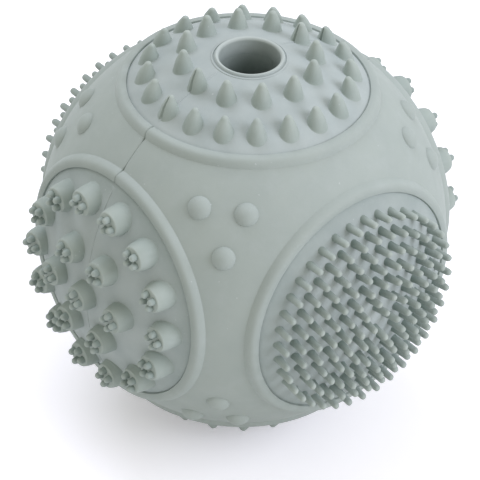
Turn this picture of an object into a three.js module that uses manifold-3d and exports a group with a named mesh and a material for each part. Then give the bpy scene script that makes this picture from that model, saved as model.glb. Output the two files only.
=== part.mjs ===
// Dog dental ball: a hollow treat ball of soft natural rubber that stands on its lower cones.
// Two half shells meet on a seam, and six domed tread pads sit in them inside raised rims:
// cones above and below, crowned knobs at the front and rear, pins at the left and right.
// The treat mouth opens through the upper cone pad into the cavity.
// Millimetres, +Z up. The origin is on the ground under the ball's centre. The seam is the plane X = 0.
import * as THREE from 'three';
import { ConvexGeometry } from 'three/addons/geometries/ConvexGeometry.js';
import { mergeVertices } from 'three/addons/utils/BufferGeometryUtils.js';
import Module from 'manifold-3d';

const wasm = await Module();
wasm.setup();

// Shell
const ballDiameter = 74;
const wallUnderPads = 5.2;
const seamGap = 0.3;

// Raised rim round each pad, and the plain band of shell left between two rims
const rimWidth = 2.6;
const rimHeight = 0.85;
const bandBetweenRims = 6.7;
const crestShare = 0.45;

// Pads: domed discs, a little flatter than the ball
const padThickness = 2.4;
const padCrownRadius = 40.5;
const padEdgeStep = 0.3;
const padClearance = 0.3;

// Treat mouth in the upper pad, with its raised lip
const mouthDiameter = 11;
const lipWidth = 1.4;
const lipFaceWidth = 0.6;
const lipHeight = 0.15;

// Cones: two rings, the inner one taller, and the outer one leaning a little to the pad's middle
const coneBaseDiameter = 3.8;
const coneTipDiameter = 1.3;
const innerConeHeight = 4.2;
const outerConeHeight = 3.6;
const outerConeLean = 0.6;
const coneEdgeMargin = 2.9;
const coneRingPitch = 6.55;
const innerConeCount = 12;
const outerConeCount = 20;

// Knobs: two rings and a middle one, each stub with a crown of four nubs
const knobBaseDiameter = 5.7;
const knobTopDiameter = 4.8;
const knobHeight = 3;
const knobEdgeMargin = 3.9;
const knobRingPitch = 9.1;
const innerKnobCount = 6;
const outerKnobCount = 14;
const nubDiameter = 1.45;
const nubHeight = 1.1;
const nubCount = 4;
const crownDiameter = 2.5;

// Pins: rings at a steady pitch, with even counts so that each ring mirrors about the pad's middle
const pinDiameter = 1.35;
const pinHeight = 3.8;
const pinEdgeMargin = 2.6;
const pinRingPitch = 2.75;
const pinSpacing = 3.22;

// Bumps on the shell: three in each corner between three rims, as directions from the ball's centre
const bumpDiameter = 4.5;
const bumpTopDiameter = 3.5;
const bumpHeight = 0.85;
const bumpCrown = 0.1;
const bumpDirections = [[0.43, 0.655, 0.62], [0.6, 0.51, 0.615], [0.615, 0.655, 0.435]];

// Facets, and the small overlaps that let joined solids share volume
const roundSides = 24;
const crownDetail = 4;
const seatRings = 2;
const rimFacets = 3;
const ballDetail = 4;
const cavityDetail = 2;
const boreSides = 20;
const coneSides = 6;
const knobSides = 8;
const nubSides = 4;
const pinSides = 4;
const bumpSides = 6;
const rootDepth = 1.5;
const overshoot = 6;
const weldDistance = 1e-4;

// Layout that follows from the sizes above
const ballRadius = ballDiameter / 2;
const rimOuterAngle = Math.PI / 4 - bandBetweenRims / 2 / ballRadius;
const rimInnerAngle = rimOuterAngle - rimWidth / ballRadius;
const socketRadius = ballRadius * Math.sin(rimInnerAngle);
const padRadius = socketRadius - padClearance;
const padEdgeHeight = Math.sqrt((ballRadius - padEdgeStep) ** 2 - padRadius ** 2);
const padCrownCentre = padEdgeHeight - Math.sqrt(padCrownRadius ** 2 - padRadius ** 2);
const mouthRadius = mouthDiameter / 2;
const outerConeRadius = padRadius - coneEdgeMargin;
const innerConeRadius = outerConeRadius - coneRingPitch;
const outerKnobRadius = padRadius - knobEdgeMargin;
const innerKnobRadius = outerKnobRadius - knobRingPitch;
const cavityRadius = padFace(0) - padThickness - padClearance - wallUnderPads;
const standHeight = padFace(innerConeRadius) + innerConeHeight;

// Height of a pad's domed face above the ball's centre, at a distance from the pad's axis.
function padFace(radius) {
  return padCrownCentre + Math.sqrt(padCrownRadius ** 2 - radius ** 2);
}

// Closed solid of a three.js geometry, ready for joins and cuts.
function solidOf(geometry) {
  geometry.deleteAttribute('normal');
  geometry.deleteAttribute('uv');
  const merged = mergeVertices(geometry, weldDistance);
  const corners = merged.index.array;
  const triangles = [];
  for (let i = 0; i < corners.length; i += 3) {
    const [a, b, c] = corners.slice(i, i + 3);
    if (a !== b && b !== c && c !== a) triangles.push(a, b, c);
  }
  return new wasm.Manifold(new wasm.Mesh({
    numProp: 3,
    vertProperties: merged.attributes.position.array,
    triVerts: Uint32Array.from(triangles),
  }));
}

// Geometry of a solid's surface.
function geometryOf(solid) {
  const { vertProperties, triVerts } = solid.getMesh();
  const geometry = new THREE.BufferGeometry();
  geometry.setAttribute('position', new THREE.BufferAttribute(vertProperties, 3));
  geometry.setIndex(new THREE.BufferAttribute(triVerts, 1));
  return geometry;
}

// Named mesh of a finished solid, in its own rubber.
function meshOf(name, solid, colour) {
  const geometry = geometryOf(solid);
  geometry.computeVertexNormals();
  const rubber = new THREE.MeshStandardMaterial({ color: colour, roughness: 0.72, metalness: 0 });
  const mesh = new THREE.Mesh(geometry, rubber);
  mesh.name = name;
  return mesh;
}

// Turned shape about +Z from a profile of [radius, height] points.
function turned(profile, sides) {
  const points = profile.map(([radius, height]) => new THREE.Vector2(radius, height));
  return new THREE.LatheGeometry(points, sides).rotateX(Math.PI / 2);
}

// Ball whose crown is a pad's domed face.
function crownBall() {
  return solidOf(new THREE.IcosahedronGeometry(padCrownRadius, crownDetail).translate(0, 0, padCrownCentre));
}

// Everything within a radius of the pad's axis that lies above its domed face, moved down by a drop.
function spaceAbove(radius, drop) {
  const ceiling = ballRadius + overshoot;
  const floor = Array.from({ length: seatRings + 1 }, (_, k) => {
    const share = k / seatRings;
    return [share * radius, padFace(share * radius) - drop];
  });
  return solidOf(turned([...floor, [radius, ceiling], [0, ceiling]], roundSides));
}

// Round bar of the treat mouth along +Z, from the ball's centre to above its studs.
function mouthBar() {
  const top = ballRadius + overshoot;
  return solidOf(turned([[0, 0], [mouthRadius, 0], [mouthRadius, top], [0, top]], boreSides));
}

// Tapered stud along +Z whose foot is sunk into the face that it grows from. Its tip may stand over
// another place, and the sides run on straight below the face.
function stud([x, y], footHeight, height, footDiameter, tipDiameter, sides, [tipX, tipY] = [x, y]) {
  const sunk = rootDepth / height;
  const polygon = (diameter, centreX, centreY, z) => Array.from({ length: sides }, (_, k) => {
    const angle = (2 * Math.PI * k) / sides;
    const radius = diameter / 2;
    return new THREE.Vector3(centreX + radius * Math.cos(angle), centreY + radius * Math.sin(angle), z);
  });
  const rootDiameter = footDiameter + (footDiameter - tipDiameter) * sunk;
  const rootX = x - (tipX - x) * sunk;
  const rootY = y - (tipY - y) * sunk;
  const root = polygon(rootDiameter, rootX, rootY, footHeight - rootDepth);
  const tip = polygon(tipDiameter, tipX, tipY, footHeight + height);
  return solidOf(new ConvexGeometry([...root, ...tip]));
}

// Places round a ring, the first one on the Y axis.
function ringPlaces(count, radius) {
  return Array.from({ length: count }, (_, k) => {
    const angle = Math.PI / 2 + (2 * Math.PI * k) / count;
    return [radius * Math.cos(angle), radius * Math.sin(angle)];
  });
}

function distanceOf([x, y]) {
  return Math.hypot(x, y);
}

function cones() {
  const ring = (count, radius, height, lean) => {
    const tips = ringPlaces(count, radius - lean);
    return ringPlaces(count, radius).map((place, k) => (
      stud(place, padFace(radius), height, coneBaseDiameter, coneTipDiameter, coneSides, tips[k])
    ));
  };
  return [
    ...ring(innerConeCount, innerConeRadius, innerConeHeight, 0),
    ...ring(outerConeCount, outerConeRadius, outerConeHeight, outerConeLean),
  ];
}

// One knob: a tapered stub and its crown of nubs, the first one turned away from the pad's middle.
function knob(place) {
  const foot = padFace(distanceOf(place));
  const [x, y] = place;
  const bearing = Math.atan2(y, x);
  const nubs = Array.from({ length: nubCount }, (_, k) => {
    const angle = bearing + (2 * Math.PI * k) / nubCount;
    const nubX = x + (crownDiameter / 2) * Math.cos(angle);
    const nubY = y + (crownDiameter / 2) * Math.sin(angle);
    return stud([nubX, nubY], foot + knobHeight, nubHeight, nubDiameter, nubDiameter, nubSides);
  });
  const stub = stud(place, foot, knobHeight, knobBaseDiameter, knobTopDiameter, knobSides);
  return wasm.Manifold.union([stub, ...nubs]);
}

// Outer knobs leave the seam free, which crosses the pad along its Y axis.
function knobs() {
  const halfStep = Math.PI / outerKnobCount;
  const turn = ([x, y]) => [
    x * Math.cos(halfStep) - y * Math.sin(halfStep),
    x * Math.sin(halfStep) + y * Math.cos(halfStep),
  ];
  const outer = ringPlaces(outerKnobCount, outerKnobRadius).map(turn);
  const inner = ringPlaces(innerKnobCount, innerKnobRadius).map(([x, y]) => [y, x]);
  return [[0, 0], ...inner, ...outer].map(knob);
}

function pins() {
  const solids = [];
  for (let radius = padRadius - pinEdgeMargin; radius > pinDiameter; radius -= pinRingPitch) {
    const count = 2 * Math.round((Math.PI * radius) / pinSpacing);
    const foot = padFace(radius);
    ringPlaces(count, radius).forEach((place) => {
      solids.push(stud(place, foot, pinHeight, pinDiameter, pinDiameter, pinSides));
    });
  }
  return solids;
}

// Lip round the mouth, chamfered on its outer edge.
function mouthLip() {
  const top = padFace(0) + lipHeight;
  const root = top - padThickness;
  const outer = mouthRadius + lipWidth;
  const face = mouthRadius + lipFaceWidth;
  const chamfer = outer - face;
  return solidOf(turned([[0, root], [outer, root], [outer, top - chamfer], [face, top], [0, top]], boreSides));
}

// A pad along +Z: a domed face with its studs, trimmed to the pad's edge and underside.
function padSolid(studs) {
  return wasm.Manifold.union([crownBall(), ...studs]).intersect(spaceAbove(padRadius, padThickness));
}

// Rim round a pad along +Z: a rounded bead on the ball's surface that stands steep on its inner side.
function rimSolid() {
  const point = (angle, radius) => [radius * Math.sin(angle), radius * Math.cos(angle)];
  const bead = Array.from({ length: rimFacets + 2 }, (_, k) => {
    const share = (k - 1) / rimFacets;
    const swell = Math.cos(((share - crestShare) / (1 - crestShare)) * (Math.PI / 2));
    const angle = rimInnerAngle + share * (rimOuterAngle - rimInnerAngle);
    return point(angle, ballRadius + rimHeight * swell);
  });
  const innerRoot = point(rimInnerAngle - rimWidth / ballRadius, ballRadius - rootDepth);
  const outerRoot = point(rimOuterAngle, ballRadius - rootDepth);
  return solidOf(turned([innerRoot, outerRoot, ...bead.reverse(), innerRoot], roundSides));
}

// Low flat-topped bump along +Z on the ball's surface.
function bumpShape() {
  const radius = bumpDiameter / 2;
  const base = ballRadius - rootDepth;
  return turned([
    [0, base],
    [radius, base],
    [radius, ballRadius],
    [bumpTopDiameter / 2, ballRadius + bumpHeight - bumpCrown],
    [0, ballRadius + bumpHeight],
  ], bumpSides);
}

// Directions of the six pads, as turns that bring +Z onto each pad's axis.
const padTurns = {
  top: [0, 0, 0],
  bottom: [Math.PI, 0, 0],
  front: [Math.PI / 2, 0, 0],
  rear: [-Math.PI / 2, 0, 0],
  right: [0, Math.PI / 2, 0],
  left: [0, -Math.PI / 2, 0],
};

// Copy of a +Z solid for each pad, turned onto the pad's axis.
function onEveryPad(solid) {
  return Object.values(padTurns).map(([turnX, turnY]) => (
    solidOf(geometryOf(solid).rotateX(turnX).rotateY(turnY))
  ));
}

function bumps() {
  const up = new THREE.Vector3(0, 0, 1);
  const signs = [1, -1];
  return bumpDirections.flatMap(([x, y, z]) => signs.flatMap((sx) => signs.flatMap((sy) => signs.map((sz) => {
    const direction = new THREE.Vector3(sx * x, sy * y, sz * z).normalize();
    const turn = new THREE.Quaternion().setFromUnitVectors(up, direction);
    return solidOf(bumpShape().applyQuaternion(turn));
  }))));
}

// Whole hollow ball with its rims and bumps, its pad sockets and the mouth.
function wholeShell() {
  const ball = solidOf(new THREE.IcosahedronGeometry(ballRadius, ballDetail));
  const cavity = solidOf(new THREE.IcosahedronGeometry(cavityRadius, cavityDetail));
  const socket = spaceAbove(socketRadius, padThickness + padClearance);
  const outside = wasm.Manifold.union([ball, ...onEveryPad(rimSolid()), ...bumps()]);
  return outside.subtract(wasm.Manifold.union([cavity, mouthBar(), ...onEveryPad(socket)]));
}

// The half of the shell on one side of the seam.
function halfShell(shell, side) {
  const size = ballDiameter + 2 * overshoot;
  const offset = side * (size / 2 + seamGap / 2);
  const half = solidOf(new THREE.BoxGeometry(size, size, size).translate(offset, 0, 0));
  return shell.intersect(half);
}

const shellColour = 0xa5afab;
const padColour = 0xa3ada9;
const ball = new THREE.Group();
ball.position.z = standHeight;

const shell = wholeShell();
ball.add(meshOf('shell_half_right', halfShell(shell, 1), shellColour));
ball.add(meshOf('shell_half_left', halfShell(shell, -1), shellColour));

const conePad = padSolid(cones());
const knobPad = padSolid(knobs());
const pinPad = padSolid(pins());
const mouthPad = padSolid([...cones(), mouthLip()]).subtract(mouthBar());

const pads = {
  cone_pad_top: [mouthPad, padTurns.top],
  cone_pad_bottom: [conePad, padTurns.bottom],
  knob_pad_front: [knobPad, padTurns.front],
  knob_pad_rear: [knobPad, padTurns.rear],
  pin_pad_right: [pinPad, padTurns.right],
  pin_pad_left: [pinPad, padTurns.left],
};
for (const [name, [solid, turn]] of Object.entries(pads)) {
  const pad = meshOf(name, solid, padColour);
  pad.rotation.set(...turn);
  ball.add(pad);
}

const dentalBall = new THREE.Group();
dentalBall.add(ball);

export default dentalBall;
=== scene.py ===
"""Dog dental ball of soft grey-green rubber, standing on its lower cones with the treat mouth on top.

Metres, +Z up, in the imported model's frame: the ball's centre is over the origin, the knob pads are at
-Y and +Y, the pin pads at +X and -X, and the moulding seam is the plane X = 0.
"""

import bmesh
import bpy
import numpy as np
from mathutils import Matrix, Vector


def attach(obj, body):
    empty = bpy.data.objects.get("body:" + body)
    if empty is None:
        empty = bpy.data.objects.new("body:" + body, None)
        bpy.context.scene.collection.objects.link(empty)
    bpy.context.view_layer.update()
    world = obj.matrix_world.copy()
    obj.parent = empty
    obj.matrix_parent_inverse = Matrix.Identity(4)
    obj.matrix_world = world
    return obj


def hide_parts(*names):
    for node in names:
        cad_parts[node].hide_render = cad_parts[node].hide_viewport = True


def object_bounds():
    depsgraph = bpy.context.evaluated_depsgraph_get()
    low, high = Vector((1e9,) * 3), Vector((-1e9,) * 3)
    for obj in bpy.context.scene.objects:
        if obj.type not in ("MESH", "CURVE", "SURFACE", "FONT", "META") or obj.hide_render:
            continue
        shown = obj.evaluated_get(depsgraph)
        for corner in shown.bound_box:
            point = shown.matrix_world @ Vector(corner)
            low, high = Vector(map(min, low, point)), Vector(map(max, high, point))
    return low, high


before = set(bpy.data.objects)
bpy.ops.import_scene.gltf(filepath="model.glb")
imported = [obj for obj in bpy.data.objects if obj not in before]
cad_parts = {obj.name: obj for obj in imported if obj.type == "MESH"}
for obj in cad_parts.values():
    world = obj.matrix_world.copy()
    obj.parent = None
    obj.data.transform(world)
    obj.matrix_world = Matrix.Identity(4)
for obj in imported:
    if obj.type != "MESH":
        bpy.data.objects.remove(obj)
cad_low, cad_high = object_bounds()
scene = bpy.context.scene
scene.view_settings.view_transform = "Standard"
ball_centre = (np.array(cad_low) + np.array(cad_high)) / 2


# Camera: a long lens about two thirds of a metre from the ball, looking down on the corner between
# the front knob pad and the right pin pad. It is turned so that the ball's centre falls on its pixel.
camera_distance = 0.6438
camera_azimuth = np.radians(48.47)
camera_elevation = np.radians(36.63)
camera_roll = np.radians(-2.42)
frame_pixels = 480
focal_pixels = 3525.5
ball_pixel = (242.9, 219.75)
sensor_millimetres = 36
nearest_seen = 0.01
farthest_seen = 20


def camera_axes():
    """Right, up and back of the camera as rows: a level camera that faces the ball, rolled about its
    line of sight, then tilted and panned until the ball's centre lies off the middle of the frame."""
    level = np.cos(camera_elevation)
    back = np.array((
        np.sin(camera_azimuth) * level,
        -np.cos(camera_azimuth) * level,
        np.sin(camera_elevation),
    ))
    right = np.array((np.cos(camera_azimuth), np.sin(camera_azimuth), 0))
    faced = np.stack((right, np.cross(back, right), back))
    pan = np.arctan2(ball_pixel[0] - frame_pixels / 2, focal_pixels)
    tilt = np.arctan2(frame_pixels / 2 - ball_pixel[1], focal_pixels)
    rolled = np.array(Matrix.Rotation(camera_roll, 3, "Z"))
    tilted = np.array(Matrix.Rotation(tilt, 3, "X"))
    panned = np.array(Matrix.Rotation(-pan, 3, "Y"))
    return panned @ tilted @ rolled @ faced, back


axes, towards_camera = camera_axes()
camera = bpy.data.objects.new("camera", bpy.data.cameras.new("camera"))
camera.data.sensor_width = sensor_millimetres
camera.data.lens = focal_pixels * sensor_millimetres / frame_pixels
camera.data.clip_start = nearest_seen
camera.data.clip_end = farthest_seen
camera_place = Matrix.Translation(ball_centre + towards_camera * camera_distance)
camera.matrix_world = camera_place @ Matrix(axes.T).to_4x4()
scene.collection.objects.link(camera)
scene.camera = camera


# Floor and light: a white sweep under two broad soft lamps, a high one behind the ball and a lower one
# on its right, in an even surround. The lamps are a little cool and the surround a little warm. Seen
# directly, the sweep is whiter than the light that it gives back, and faintly violet in the shade.
floor_reach = 6.0
floor_bounce = (0.80, 0.80, 0.80, 1)
floor_seen = (0.985, 0.970, 1, 1)
floor_lift_colour = (1, 0.985, 1.05, 1)
floor_lift = 0.245
floor_roughness = 0.9
lamp_distance = 1.3
lamp_width = 0.9
lamps = {
    "left_lamp": ((-0.50, 0.10, 0.86), 6.7, (0.97, 1.0, 1.20)),
    "right_lamp": ((0.77, 0.40, 0.50), 9.0, (0.99, 1.0, 1.16)),
}
surround_colour = (1.01, 1.0, 0.92, 1)
surround_strength = 0.633
backdrop_colour = (1, 1, 1, 1)


def seen_directly(nodes, links):
    """1 for rays that come from the camera, a reflection or a clear solid, and 0 for the rays that carry
    light from one matte surface to another."""
    path = nodes.new("ShaderNodeLightPath")
    share = path.outputs["Is Camera Ray"]
    for kind in ("Is Glossy Ray", "Is Transmission Ray"):
        either = nodes.new("ShaderNodeMath")
        either.operation = "MAXIMUM"
        links.new(share, either.inputs[0])
        links.new(path.outputs[kind], either.inputs[1])
        share = either.outputs[0]
    return share


floor = bpy.data.objects.new("floor", bpy.data.meshes.new("floor"))
corners = np.array(((-1, -1, 0), (1, -1, 0), (1, 1, 0), (-1, 1, 0))) * floor_reach / 2
floor.data.from_pydata(corners.tolist(), [], [(0, 1, 2, 3)])
scene.collection.objects.link(floor)
floor_paint = bpy.data.materials.new("white_sweep")
floor_paint.use_nodes = True
floor_nodes = floor_paint.node_tree.nodes
floor_links = floor_paint.node_tree.links
bounce_shader = floor_nodes["Principled BSDF"]
seen_shader = floor_nodes.new("ShaderNodeBsdfPrincipled")
for shader, colour in ((bounce_shader, floor_bounce), (seen_shader, floor_seen)):
    shader.inputs["Base Color"].default_value = colour
    shader.inputs["Roughness"].default_value = floor_roughness
    shader.inputs["Specular IOR Level"].default_value = 0.0
seen_shader.inputs["Emission Color"].default_value = floor_lift_colour
seen_shader.inputs["Emission Strength"].default_value = floor_lift
floor_choice = floor_nodes.new("ShaderNodeMixShader")
floor_links.new(seen_directly(floor_nodes, floor_links), floor_choice.inputs[0])
floor_links.new(bounce_shader.outputs[0], floor_choice.inputs[1])
floor_links.new(seen_shader.outputs[0], floor_choice.inputs[2])
floor_links.new(floor_choice.outputs[0], floor_nodes["Material Output"].inputs["Surface"])
floor.data.materials.append(floor_paint)

for lamp_name, (lamp_direction, lamp_watts, lamp_colour) in lamps.items():
    lamp = bpy.data.objects.new(lamp_name, bpy.data.lights.new(lamp_name, "AREA"))
    lamp.data.shape = "DISK"
    lamp.data.size = lamp_width
    lamp.data.energy = lamp_watts
    lamp.data.color = lamp_colour
    lamp_way = Vector(lamp_direction).normalized()
    lamp.location = Vector(ball_centre) + lamp_way * lamp_distance
    lamp.rotation_euler = lamp_way.to_track_quat("Z", "Y").to_euler()
    scene.collection.objects.link(lamp)

surround = bpy.data.worlds.new("surround")
scene.world = surround
surround.use_nodes = True
surround_nodes = surround.node_tree.nodes
surround_links = surround.node_tree.links
surround_glow = surround_nodes["Background"]
surround_glow.inputs["Color"].default_value = surround_colour
surround_glow.inputs["Strength"].default_value = surround_strength
backdrop = surround_nodes.new("ShaderNodeBackground")
backdrop.inputs["Color"].default_value = backdrop_colour
surround_choice = surround_nodes.new("ShaderNodeMixShader")
surround_links.new(seen_directly(surround_nodes, surround_links), surround_choice.inputs[0])
surround_links.new(surround_glow.outputs[0], surround_choice.inputs[1])
surround_links.new(backdrop.outputs[0], surround_choice.inputs[2])
surround_links.new(surround_choice.outputs[0], surround_nodes["World Output"].inputs["Surface"])


# Half shells: the hollow ball itself, moulded in two halves of soft rubber that meet on the seam.
# Each half has raised rims round the pad sockets, low domed bumps in its corners, and the wall of the
# treat cavity inside. A fine groove marks the seam, and it is torn deeper where it meets the rims.
ball_radius = 0.037
cavity_radius = 0.02804
socket_radius = 0.02164
socket_depth = 0.0030
mouth_radius = 0.0055
rim_inner_angle = np.arcsin(socket_radius / ball_radius)
rim_outer_angle = np.pi / 4 - 0.00335 / ball_radius
rim_height = 0.00085
rim_crest_share = 0.45
rim_chamfer = 0.0002
bump_radius = 0.0021
bump_height = 0.00125
bump_roundness = 0.65
bump_root_depth = 0.001
bump_rows = 12
bump_sides = 40
bump_corners = ((0.43, 0.655, 0.62), (0.60, 0.51, 0.615), (0.615, 0.655, 0.435))
seam_gap = 0.00002
seam_groove_depth = 0.00010
seam_groove_width = 0.00011
seam_tear_gain = 5.0
seam_tear_angle = np.radians(0.8)
pad_crown_radius = 0.0405
pad_crown_centre = -0.0042635
shell_columns = 288
seam_columns = np.array((0.0014, 0.0030, 0.0050, 0.0080, 0.0125))
socket_rows = 5
rim_rows = 17
band_rows = 16
cavity_rows = 8
weld_distance = 2e-7
crease_angle = np.radians(40)
pad_axes = {
    "top": ((1, 0, 0), (0, 1, 0), (0, 0, 1)),
    "bottom": ((1, 0, 0), (0, -1, 0), (0, 0, -1)),
    "front": ((1, 0, 0), (0, 0, 1), (0, -1, 0)),
    "rear": ((1, 0, 0), (0, 0, -1), (0, 1, 0)),
    "right": ((0, 0, -1), (0, 1, 0), (1, 0, 0)),
    "left": ((0, 0, 1), (0, 1, 0), (-1, 0, 0)),
}


def pad_floor(radius):
    """Height of a pad's face above the ball's centre: a dome a little flatter than the ball."""
    return pad_crown_centre + np.sqrt(pad_crown_radius ** 2 - radius ** 2)


def rim_swell(angle):
    """Height of the rim at an angle from the pad's axis: a bead like the top of a cosine wave, cut off
    by the socket on its inner side and down to the shell on its outer side."""
    share = (angle - rim_inner_angle) / (rim_outer_angle - rim_inner_angle)
    wave = np.cos((share - rim_crest_share) / (1 - rim_crest_share) * np.pi / 2)
    return rim_height * np.where(share < 1, np.maximum(wave, 0), 0)


def seam_groove(directions, angle):
    """Depth of the seam's groove: a bell curve across the seam, deeper where the angle from a pad's axis
    is that of a rim's inner or outer edge."""
    tear = 1
    for edge in (rim_inner_angle, rim_outer_angle):
        tear = tear + seam_tear_gain * np.exp(-((angle - edge) / seam_tear_angle) ** 2)
    across = directions[..., 0] * ball_radius / seam_groove_width
    return seam_groove_depth * tear * np.exp(-across ** 2)


def grid_quads(rows, columns, closed=False):
    """Quads between neighbouring rows and columns of a grid numbered row by row. A closed grid's last
    column joins its first."""
    row = np.arange(rows - 1)[:, None]
    column = np.arange(columns if closed else columns - 1)[None]
    following = (column + 1) % columns
    quads = np.stack((row * columns + column, row * columns + following,
                      (row + 1) * columns + following, (row + 1) * columns + column), -1)
    return quads.reshape(-1, 4)


def make_piece(name, parts, material):
    """One piece from parts, each of points, faces and a tint that its material may read. Points that
    coincide are welded, so that patches share their edges and poles close, faces are turned outwards,
    and only sharp edges stay hard."""
    points, faces, tints, count = [], [], [], 0
    for part_points, part_faces, part_tint in parts:
        points.append(np.asarray(part_points).reshape(-1, 3))
        faces.extend((np.asarray(part_faces) + count).tolist())
        tints.append(np.broadcast_to(part_tint, part_points.shape[:-1]).ravel())
        count += len(points[-1])
    mesh = bpy.data.meshes.new(name)
    mesh.from_pydata(np.concatenate(points).tolist(), [], faces)
    tint_layer = mesh.attributes.new("tint", "FLOAT", "POINT")
    tint_layer.data.foreach_set("value", np.concatenate(tints).astype(np.float32))
    work = bmesh.new()
    work.from_mesh(mesh)
    bmesh.ops.remove_doubles(work, verts=work.verts, dist=weld_distance)
    bmesh.ops.recalc_face_normals(work, faces=work.faces)
    work.to_mesh(mesh)
    work.free()
    mesh.shade_smooth()
    mesh.set_sharp_from_angle(angle=crease_angle)
    mesh.materials.append(material)
    piece = bpy.data.objects.new(name, mesh)
    scene.collection.objects.link(piece)
    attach(piece, "root")
    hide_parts(name)


cloud_grain = (150, 4, 0.55)
cloud_stops = ((0.35, 1), (0.65, 0))
bloom_grain = (260, 6, 0.7)
bloom_start = 0.48
bloom_full = 0.80
bloom_colour = (0.46, 0.505, 0.50)
speck_grain = (1300, 1, 0.5)
speck_stops = ((0.775, 0), (0.83, 0.5))
speck_colour = (0.60, 0.63, 0.63)
sheen_grain = (400, 3, 0.6)
sheen_stops = ((0.3, 0.62), (0.7, 0.74))
rubber_specular = 0.35
skin_grain = (2600, 2, 0.5)
skin_strength = 0.06
skin_depth = 0.0002


def rubber(name, bloom_share, cloud_colour, *tints):
    """Matte moulded rubber: a grey-green body clouded by noise, a pale bloom in patches, a few fine white
    specks, and a fine orange-peel bump. The body's colour goes by the tint of each point, which also
    paints shade into hollows and at the feet of studs, and a highlight on the mouth's bead. A grain is a
    noise's scale, detail and roughness, and a stop is a position and the grey or colour there."""
    material = bpy.data.materials.new(name)
    material.use_nodes = True
    nodes, links = material.node_tree.nodes, material.node_tree.links
    shader = nodes["Principled BSDF"]
    place = nodes.new("ShaderNodeTexCoord")

    def noise(scale, detail, roughness):
        """A noise over the ball's own coordinates."""
        texture = nodes.new("ShaderNodeTexNoise")
        texture.inputs["Scale"].default_value = scale
        texture.inputs["Detail"].default_value = detail
        texture.inputs["Roughness"].default_value = roughness
        links.new(place.outputs["Object"], texture.inputs["Vector"])
        return texture.outputs["Fac"]

    def ramp(source, *stops):
        """A value turned into a colour that runs straight from stop to stop."""
        band = nodes.new("ShaderNodeValToRGB")
        elements = band.color_ramp.elements
        elements.remove(elements[1])
        for index, (position, *colour) in enumerate(stops):
            stop = elements.new(position) if index else elements[0]
            stop.position = position
            stop.color = (*(colour if len(colour) == 3 else colour * 3), 1)
        links.new(source, band.inputs["Fac"])
        return band.outputs["Color"]

    def mix(factor, first, second_colour, blend_type="MIX"):
        """The first colour with a share of the second laid over it, or multiplied into it."""
        blend = nodes.new("ShaderNodeMix")
        blend.data_type = "RGBA"
        blend.blend_type = blend_type
        links.new(factor, blend.inputs["Factor"])
        links.new(first, blend.inputs["A"])
        blend.inputs["B"].default_value = (*second_colour, 1)
        return blend.outputs["Result"]

    tint = nodes.new("ShaderNodeAttribute")
    tint.attribute_name = "tint"
    body = ramp(tint.outputs["Fac"], *tints)
    cloud = ramp(noise(*cloud_grain), *cloud_stops)
    body = mix(cloud, body, cloud_colour, "MULTIPLY")
    bloom = ramp(noise(*bloom_grain), (bloom_start, 0), (bloom_full, bloom_share))
    speck = ramp(noise(*speck_grain), *speck_stops)
    colour = mix(bloom, body, bloom_colour)
    colour = mix(speck, colour, speck_colour)
    links.new(colour, shader.inputs["Base Color"])
    sheen = ramp(noise(*sheen_grain), *sheen_stops)
    links.new(sheen, shader.inputs["Roughness"])
    shader.inputs["Specular IOR Level"].default_value = rubber_specular
    skin = nodes.new("ShaderNodeBump")
    skin.inputs["Strength"].default_value = skin_strength
    skin.inputs["Distance"].default_value = skin_depth
    links.new(noise(*skin_grain), skin.inputs["Height"])
    links.new(skin.outputs["Normal"], shader.inputs["Normal"])
    return material


# Painted shade: the cavity's wall and the deep mouth are coloured a dark green-grey, and the socket and
# the mouth's edge partly so, for the shade inside these hollows.
painted_hollow_shade = (0.145, 0.19, 0.18)
socket_painted_shade = 0.15
mouth_wall_painted_shade = 0.42
shell_bloom = 0.25
shell_clouds = (0.955, 0.96, 0.965)
shell_tint = (0, 0.372, 0.420, 0.392)
shell_rubber = rubber("shell_rubber", shell_bloom, shell_clouds, shell_tint, (1, *painted_hollow_shade))


def on_pad(points, pad):
    """Points given along a pad's two sides and its outward axis, moved to their place on the ball."""
    return ball_centre + points @ np.array(pad_axes[pad], float)


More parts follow.
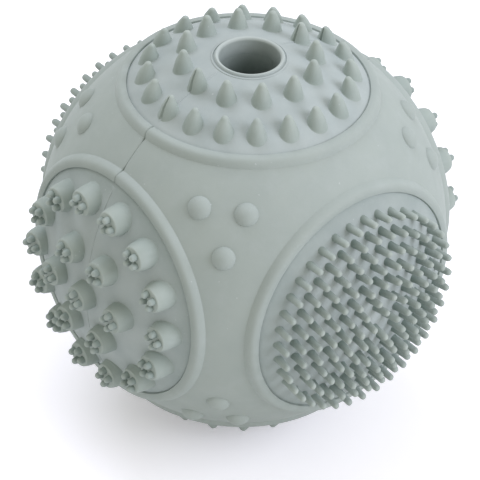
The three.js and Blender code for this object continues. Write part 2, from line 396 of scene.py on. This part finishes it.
def shell_patch(pad, angles, has_mouth, side):
    """The part of the shell nearest to one pad, as an outer and an inner sheet over the angle round the
    pad's axis. Down each column the outer sheet crosses the socket's floor, climbs its wall, goes over
    the rim and runs on to the line where the next pad is as near. The inner sheet is the cavity's wall."""
    reach = np.arctan(1 / np.maximum(np.abs(np.cos(angles)), np.abs(np.sin(angles))))
    floor_radius = np.linspace(mouth_radius if has_mouth else 0, socket_radius, socket_rows)
    floor_height = pad_floor(floor_radius) - socket_depth
    brim_height = (ball_radius + rim_swell(rim_inner_angle)) * np.cos(rim_inner_angle)
    socket_side = np.append(floor_radius, socket_radius)
    socket_up = np.append(floor_height, brim_height - rim_chamfer)
    every = np.ones_like(angles)
    socket_angle = np.arctan2(socket_side, socket_up)[:, None] * every
    socket_distance = np.hypot(socket_side, socket_up)[:, None] * every
    rim_angle = np.linspace(rim_inner_angle, rim_outer_angle, rim_rows)[:, None] * every
    band_share = np.linspace(0, 1, band_rows)[1:, None]
    band_angle = rim_outer_angle + band_share * (reach - rim_outer_angle)
    open_angle = np.concatenate((rim_angle, band_angle))

    def directions(angle):
        """Unit directions at an angle from the pad's axis, for every angle round it."""
        out = np.sin(angle)
        return np.stack((out * np.cos(angles), out * np.sin(angles), np.cos(angle)), -1)

    ways = directions(open_angle) @ np.array(pad_axes[pad], float)
    open_distance = ball_radius + rim_swell(open_angle) - seam_groove(ways, open_angle)
    outer_angle = np.concatenate((socket_angle, open_angle))
    outer = directions(outer_angle) * np.concatenate((socket_distance, open_distance))[..., None]
    inner_start = np.arcsin(mouth_radius / cavity_radius) if has_mouth else 0
    inner_angle = inner_start + np.linspace(0, 1, cavity_rows)[:, None] * (reach - inner_start)
    inner = directions(inner_angle) * cavity_radius
    sheets = [on_pad(outer, pad), on_pad(inner, pad)]
    for sheet in sheets:
        sheet[..., 0] = side * np.maximum(side * sheet[..., 0], seam_gap)
    return sheets


def corner_bumps(side):
    """The twelve bumps of one half, turned about their own directions: below the surface, up a steep side
    and over a dome whose height goes with 1 - q^2 to the power of its roundness, where q is the distance
    from the bump's middle over its radius."""
    reach = np.sin(np.radians(np.linspace(90, 0, bump_rows)))
    radius = np.concatenate(((0, 1), reach)) * bump_radius
    dome = bump_height * (1 - reach ** 2) ** bump_roundness
    height = np.concatenate(((-bump_root_depth, -bump_root_depth), dome))
    turn = np.arange(bump_sides) * 2 * np.pi / bump_sides
    bumps = []
    for corner in bump_corners:
        for signs in ((side, y, z) for y in (1, -1) for z in (1, -1)):
            up = np.array(corner) * signs / np.linalg.norm(corner)
            across = np.cross(up, (0, 0, 1)) / np.linalg.norm(np.cross(up, (0, 0, 1)))
            along = np.cross(up, across)
            ring = np.cos(turn)[:, None] * across + np.sin(turn)[:, None] * along
            flat = np.sqrt(ball_radius ** 2 - radius ** 2) + height
            points = radius[:, None, None] * ring + flat[:, None, None] * up
            bumps.append((ball_centre + points, grid_quads(len(radius), bump_sides, closed=True), 0))
    return bumps


def shell_half(name, side):
    """Half of the shell: the whole patch of its own pin pad and half of each of the four others, with
    flat faces on the seam and the mouth's wall through the top patch, and the bumps on its corners."""
    whole = np.arange(shell_columns) * 2 * np.pi / shell_columns
    even = np.linspace(-np.pi / 2, np.pi / 2, shell_columns // 2 + 1)
    half = np.sort(np.concatenate((even, np.pi / 2 - seam_columns, seam_columns - np.pi / 2)))
    half = half if side > 0 else half + np.pi
    rows = (1, socket_rows, rim_rows + band_rows - 1)
    # The tints paint shade into the hollows: part of the dark inside colour at the mouth's edge and in the
    # socket, and all of it in the cavity and deep in the mouth.
    outer_tint = np.repeat((mouth_wall_painted_shade, socket_painted_shade, 0), rows)
    section_tint = np.append(outer_tint, np.ones(cavity_rows))
    parts = corner_bumps(side)
    for pad in ("right" if side > 0 else "left", "top", "bottom", "front", "rear"):
        closed = pad in ("right", "left")
        has_mouth = pad == "top"
        outer, inner = shell_patch(pad, whole if closed else half, has_mouth, side)
        parts.append((outer, grid_quads(*outer.shape[:2], closed), outer_tint[:, None]))
        parts.append((inner, grid_quads(*inner.shape[:2], closed), 1))
        if has_mouth:
            wall = np.stack((outer[0], inner[0]))
            parts.append((wall, grid_quads(*wall.shape[:2]), np.array(((mouth_wall_painted_shade,), (1,)))))
        if not closed:
            for edge in (0, -1):
                section = np.concatenate((outer[:, edge], inner[::-1, edge]))
                parts.append((section, [range(len(section))], section_tint))
    make_piece(name, parts, shell_rubber)


shell_half("shell_half_right", 1)
shell_half("shell_half_left", -1)


# Cone pads: domed discs above and below, each with an inner ring of tall cones and an outer ring of
# shorter ones that lean in a little, moulded in one with the pad. The upper pad has the treat mouth with
# its low bead, and the ball stands on the lower pad's tall cones. A ridge of flash runs along the seam.
pad_radius = 0.02163
pad_depth = 0.00298
pad_edge_width = 0.00070
pad_edge_drop = 0.00010
pad_bend_share = 0.85
face_rows = 36
bend_rows = 6
back_rows = 10
stud_root_depth = 0.0006
stud_skirt_depth = 0.0003
stud_foot_sink = 0.00003
stud_foot_degrees = 75
stud_foot_rows = 5
stud_follow_height = 0.0015
cone_rings = ((12, 0.01189, 0.00389, 0), (20, 0.01844, 0.0033, 0.0006))
cone_foot_radius = 0.00178
cone_foot_fillet = 0.00020
cone_tip_radius = 0.00070
cone_tip_degrees = (20, 90)
cone_tip_rows = 7
cone_bulge = 0.00010
cone_side_rows = 8
cone_sides = 32
cone_seam_notch = 0.00042
disc_columns = 192
lip_reach = 0.0016
lip_drop = 0.00005
lip_top = pad_floor(0) - lip_drop
lip_section = (
    (0, 0.0020),
    (0, 0.00060),
    (0.00004, 0.00036),
    (0.00014, 0.00014),
    (0.00034, 0.00002),
    (0.00056, 0),
    (0.00076, 0.00014),
    (0.00086, 0.00050),
    (0.00098, 0.00054),
    (0.00108, 0.00036),
    (0.00134, 0.00040),
    (0.00146, 0.00056),
)
bead_width = 0.00070
mouth_wall_width = 0.00002
flash_half_width = 0.00016
flash_height = 0.00012
flash_steps = 40
flash_end_steps = 2
flash_sides = 8
bottom_flash_start = 0.0005

# Painted shade: the upper pad's mouth wall takes the dark inside colour, for the shade down the bore.
bore_painted_shade = (0.0, *painted_hollow_shade)
# Painted highlight: the mouth's bead is painted paler than the face, as if it caught light all round.
bead_painted_highlight = (0.05, 0.47, 0.52, 0.495)
face_tint = (0.1, 0.416, 0.464, 0.451)
# Painted shade and light on the studs: dark at their feet and sides, where they shade one another, and
# lighter at their tips, which catch the light.
foot_painted_shade = (0.2, 0.205, 0.260, 0.235)
side_painted_shade = (0.6, 0.345, 0.400, 0.370)
tip_painted_light = (1.0, 0.400, 0.452, 0.412)
cone_painted_shade = (0.70, 1.0)
pad_wall_painted_shade = 0.034
pad_wall_foot_painted_shade = 0.022
tread_bloom = 0.30
tread_clouds = (0.90, 0.915, 0.92)
tread_colours_and_painted_light = (bore_painted_shade, bead_painted_highlight, face_tint, foot_painted_shade, side_painted_shade, tip_painted_light)
tread_rubber = rubber("tread_rubber", tread_bloom, tread_clouds, *tread_colours_and_painted_light)


def revolve(profile, columns, pad, tint):
    """A profile of radius and height carried round a pad's axis, with a tint for each of its points."""
    turn = np.arange(columns) * 2 * np.pi / columns
    radius, height = np.asarray(profile).T
    points = np.stack((radius[:, None] * np.cos(turn), radius[:, None] * np.sin(turn),
                       np.broadcast_to(height[:, None], (len(height), columns))), -1)
    quads = grid_quads(len(height), columns, closed=True)
    return on_pad(points, pad), quads, np.broadcast_to(tint, len(height))[:, None]


def disc_profile(inner_radius=0):
    """Section of a pad from the inner edge of its face to its outer edge and back along its underside.
    Near the rim the face bends down in step with the square of the distance."""
    flat_end = pad_radius - pad_edge_width
    bend_start = pad_radius - pad_edge_width * pad_bend_share
    flat = np.linspace(inner_radius, flat_end, face_rows)
    face = np.concatenate((flat, np.linspace(bend_start, pad_radius, bend_rows)))
    bend = np.clip((face - flat_end) / pad_edge_width, 0, 1) ** 2
    front = np.stack((face, pad_floor(face) - pad_edge_drop * bend), 1)
    back = np.linspace(pad_radius, inner_radius, back_rows)
    return np.concatenate((front, np.stack((back, pad_floor(back) - pad_depth), 1)))


def mouth_disc_profile():
    """Section of the upper pad: it starts at the foot of the mouth's wall, goes over the bead, a fine
    groove and a low step, then follows the plain pad from where the step ends, and ends where it starts.
    The lip's section is given out from the mouth's wall and down from the bead's top."""
    foot = (mouth_radius, pad_floor(mouth_radius) - pad_depth)
    lip = np.array((mouth_radius, lip_top)) + np.array(lip_section) * (1, -1)
    return np.concatenate(((foot,), lip, disc_profile(mouth_radius + lip_reach), (foot,)))


def ring_places(count, radius, start=np.pi / 2):
    """Places round a ring, the first one on the pad's second side unless a start angle is given."""
    turn = start + np.arange(count) * 2 * np.pi / count
    return np.stack((radius * np.cos(turn), radius * np.sin(turn)), 1)


def studs(places, profile, sides, pad, tints, base=None, notch=0, lean=0):
    """Round studs along a pad's axis. Each profile point, a radius and a height, is carried round the
    stud. Its foot follows the dome, and higher up it keeps to its own axis. Where a base height is given
    the stud stands level on it. A notch draws the sides in where the seam runs, and a lean moves the stud
    towards the pad's middle, or away from it, in step with the height. Its tint goes from the first to
    the second in step with the square of the height: a painted shade that is darkest at the foot, where
    the studs shade each other, and lightens towards the tip."""
    places = np.asarray(places, float)
    turn = np.arange(sides) * 2 * np.pi / sides
    radius, height = np.asarray(profile, float).T
    spread = radius[:, None] - notch * np.isclose(np.abs(np.sin(turn)), 1) * (radius[:, None] > notch)
    distance = np.hypot(*places.T)
    share = np.maximum(height, 0) / height.max()
    inwards = 1 - lean * share / np.maximum(distance, weld_distance)[:, None]
    x = (places[:, :1] * inwards)[..., None] + spread * np.cos(turn)
    y = (places[:, 1:] * inwards)[..., None] + spread * np.sin(turn)
    if base is None:
        own = pad_floor(distance)[:, None, None]
        follow = np.clip(1 - height / stud_follow_height, 0, 1)[:, None]
        foot = own + follow * (pad_floor(np.hypot(x, y)) - own)
    else:
        foot = np.broadcast_to(np.asarray(base)[:, None, None], x.shape)
    points = np.stack((x, y, foot + height[:, None]), -1)
    one = grid_quads(len(height), sides, closed=True)
    quads = one[None] + (np.arange(len(places)) * len(height) * sides)[:, None, None]
    tint = tints[0] + (tints[1] - tints[0]) * share[:, None] ** 2
    return on_pad(points, pad), quads.reshape(-1, 4), tint


def flared_foot(radius, fillet):
    """Radius and height up the foot of a stud: it starts below the dome and bends up through an arc."""
    bend = np.radians(np.linspace(0, stud_foot_degrees, stud_foot_rows))
    rise = fillet * (1 - np.cos(bend)) - stud_foot_sink
    arc = np.stack((radius + fillet * (1 - np.sin(bend)), rise), 1)
    return np.concatenate((((0, -stud_root_depth), (radius + fillet, -stud_skirt_depth)), arc))


def cone_profile(height):
    """Radius and height up a cone: a small fillet, a taper that swells a little like half a sine wave,
    and a round tip."""
    foot = flared_foot(cone_foot_radius, cone_foot_fillet)
    tip = np.radians(np.linspace(*cone_tip_degrees, cone_tip_rows))
    cap = np.stack((cone_tip_radius * np.cos(tip), height - cone_tip_radius * (1 - np.sin(tip))), 1)
    share = np.linspace(0, 1, cone_side_rows)[1:-1, None]
    side = foot[-1] + share * (cap[0] - foot[-1]) + cone_bulge * np.sin(np.pi * share) * (1, 0)
    return np.concatenate((foot, side, cap))


def seam_flash(pad, inner_radius):
    """Two low ridges along the seam, from a distance off the pad's middle to its edge: half of each flat
    tube of elliptic section stands out of the dome, and its ends close to points."""
    along = np.linspace(inner_radius, pad_radius - pad_edge_width, flash_steps)
    steps = np.arange(flash_steps)
    swell = np.clip(np.minimum(steps, steps[::-1]) / flash_end_steps, 0, 1)[:, None]
    turn = np.arange(flash_sides) * 2 * np.pi / flash_sides
    across = flash_half_width * swell * np.cos(turn)
    up = pad_floor(along)[:, None] + flash_height * swell * np.sin(turn)
    quads = grid_quads(flash_steps, flash_sides, closed=True)
    ridges = []
    for way in (1, -1):
        points = np.stack((across, np.broadcast_to(way * along[:, None], across.shape), up), -1)
        ridges.append((on_pad(points, pad), quads, face_tint[0]))
    return ridges


def cone_pad(name, pad, profile, tint, flash_start):
    """A cone pad: its disc, its two rings of cones, a line down the cones that stand on the seam, and
    the flash between them."""
    parts = [revolve(profile, disc_columns, pad, tint), *seam_flash(pad, flash_start)]
    for count, radius, height, lean in cone_rings:
        places = ring_places(count, radius)
        on_seam = np.isclose(places[:, 0], 0)
        shape = cone_profile(height)
        for chosen, notch in ((~on_seam, 0), (on_seam, cone_seam_notch)):
            cones = studs(places[chosen], shape, cone_sides, pad, cone_painted_shade, notch=notch, lean=lean)
            parts.append(cones)
    make_piece(name, parts, tread_rubber)


mouth_section = mouth_disc_profile()
# Painted light and shade round the mouth: the bead is painted paler than the face, and the wall below it
# dark.
mouth_reach = mouth_section[:, 0] - mouth_radius
mouth_painted_light_and_shade = np.where(mouth_reach < bead_width, bead_painted_highlight[0], face_tint[0])
mouth_painted_light_and_shade = np.where(mouth_reach < mouth_wall_width, pad_wall_painted_shade, mouth_painted_light_and_shade)
mouth_painted_light_and_shade[[0, -1]] = pad_wall_foot_painted_shade
cone_pad("cone_pad_top", "top", mouth_section, mouth_painted_light_and_shade, mouth_radius + lip_reach)
cone_pad("cone_pad_bottom", "bottom", disc_profile(), face_tint[0], bottom_flash_start)


# Knob pads: domed discs at the front and rear with two rings of stout knobs and one in the middle.
# Each knob is a tapered stub with a flat top and a crisp brim, and carries a crown of four round-ended
# nubs that is turned with its ring. All of it is moulded in one with the pad.
knob_rings = ((14, 0.01744, np.pi / 2 + np.pi / 14), (6, 0.00870, 0), (1, 0, 0))
knob_foot_radius = 0.00275
knob_foot_fillet = 0.00014
knob_brim_radius = 0.00236
knob_brim_round = 0.00024
knob_brim_rows = 5
knob_side_start = 0.08
knob_side_rows = 8
knob_height = 0.0025
# Painted shade: the knobs are darker at their feet, where shade falls, and lighter towards their brims.
knob_painted_shade = (0.70, 0.95)
nub_foot_radius = 0.00070
nub_end_radius = 0.00061
nub_height = 0.00129
nub_skirt_depth = 0.0005
nub_end_rows = 6
# Painted shade: the nubs are darker at their roots and lighter at their ends.
nub_painted_shade = (0.35, 0.95)
crown_radius = 0.00127
crown_nubs = 4
# Painted shade: a side pad's face darkens towards the rim, for the shade that the rim throws into the
# groove inside it.
rim_painted_shade = 0.40
rim_painted_shade_start = 0.0180
knob_sides = 36
nub_sides = 16


def side_face_painted_shade(section):
    """Tint of a side pad's face: plain in the middle and darker towards the rim, in step with the
    distance. The darkening is painted shade for the shade of the rim over the groove inside it."""
    nearness = np.clip((section[:, 0] - rim_painted_shade_start) / (pad_radius - rim_painted_shade_start), 0, 1)
    return face_tint[0] + rim_painted_shade * (foot_painted_shade[0] - face_tint[0]) * nearness


def knob_profile():
    """Radius and height up a stub: a small fillet, a side that draws in with the square of its height,
    a crisp brim and a flat top."""
    foot = flared_foot(knob_foot_radius, knob_foot_fillet)
    brim_foot = knob_height - knob_brim_round
    rise = np.linspace(knob_side_start, 1, knob_side_rows)[:-1]
    drawn_in = (knob_foot_radius - knob_brim_radius) * rise ** 2
    side = np.stack((knob_foot_radius - drawn_in, brim_foot * rise), 1)
    bend = np.radians(np.linspace(0, 90, knob_brim_rows))
    brim_side = knob_brim_radius - knob_brim_round * (1 - np.cos(bend))
    brim = np.stack((brim_side, brim_foot + knob_brim_round * np.sin(bend)), 1)
    return np.concatenate((foot, side, brim, ((0, knob_height),)))


def nub_profile():
    """Radius and height up a nub, from inside its stub to its round end."""
    end = np.radians(np.linspace(0, 90, nub_end_rows))
    cap = np.stack((nub_end_radius * np.cos(end), nub_height - nub_end_radius * (1 - np.sin(end))), 1)
    root = ((0, -stud_root_depth), (nub_foot_radius, -nub_skirt_depth), (nub_foot_radius, 0))
    return np.concatenate((root, cap))


def knob_pad(name, pad):
    """A knob pad: its disc, the stubs, a crown of nubs on each stub with one nub turned away from the
    pad's middle, and the flash."""
    section = disc_profile()
    disc = revolve(section, disc_columns, pad, side_face_painted_shade(section))
    parts = [disc, *seam_flash(pad, knob_foot_radius)]
    for count, radius, start in knob_rings:
        places = ring_places(count, radius, start)
        bearings = np.arctan2(places[:, 1], places[:, 0])
        crowns = [place + ring_places(crown_nubs, crown_radius, bearing)
                  for place, bearing in zip(places, bearings)]
        nub_base = np.full(count * crown_nubs, pad_floor(radius) + knob_height)
        nub_places = np.concatenate(crowns)
        parts.append(studs(places, knob_profile(), knob_sides, pad, knob_painted_shade))
        parts.append(studs(nub_places, nub_profile(), nub_sides, pad, nub_painted_shade, base=nub_base))
    make_piece(name, parts, tread_rubber)


knob_pad("knob_pad_front", "front")
knob_pad("knob_pad_rear", "rear")


# Pin pads: domed discs at the right and left with rings of soft round-ended pins that lean out a little,
# close enough together to brush a tooth. They are moulded in one with the pad.
pin_foot_radius = 0.00078
pin_radius = 0.00067
pin_height = 0.00349
pin_root_depth = 0.0005
pin_skirt_depth = 0.00010
pin_flare = 0.00004
pin_flare_height = 0.00035
pin_taper = 0.00003
pin_end_length = 0.00055
pin_end_section = ((0.78, 0.00022), (0.42, 0.00005), (0, 0))
pin_lean = -0.0005
pin_first_ring = 0.01874
pin_ring_pitch = 0.00275
pin_spacing = 0.00322
pin_sides = 10
# Painted shade: the pins are darker at their feet and lighter at their tips, the outer ring less dark.
pin_painted_shade = (0.27, 1.0)
outer_pin_painted_shade = (0.45, 1.0)


def pin_profile():
    """Radius and height up a pin: a flared foot, a slight taper and a round end. The end's section is
    given as shares of the pin's radius and lengths down from its tip."""
    return np.array((
        (0, -pin_root_depth),
        (pin_foot_radius, -pin_skirt_depth),
        (pin_radius + pin_flare, pin_flare_height),
        (pin_radius - pin_taper, pin_height - pin_end_length),
        *((pin_radius * share, pin_height - drop) for share, drop in pin_end_section),
    ))


def pin_pad(name, pad):
    """A pin pad: its disc and rings of pins from near its edge inwards, an even count in each ring. The
    pins of the outer ring have less painted shade at their feet, as fewer neighbours shade them."""
    radii = np.arange(pin_first_ring, pin_radius * 2, -pin_ring_pitch)
    counts = 2 * np.round(np.pi * radii / pin_spacing).astype(int)
    section = disc_profile()
    parts = [revolve(section, disc_columns, pad, side_face_painted_shade(section))]
    for count, radius in zip(counts, radii):
        tints = outer_pin_painted_shade if radius == pin_first_ring else pin_painted_shade
        places = ring_places(count, radius)
        parts.append(studs(places, pin_profile(), pin_sides, pad, tints, lean=pin_lean))
    make_piece(name, parts, tread_rubber)


pin_pad("pin_pad_right", "right")
pin_pad("pin_pad_left", "left")
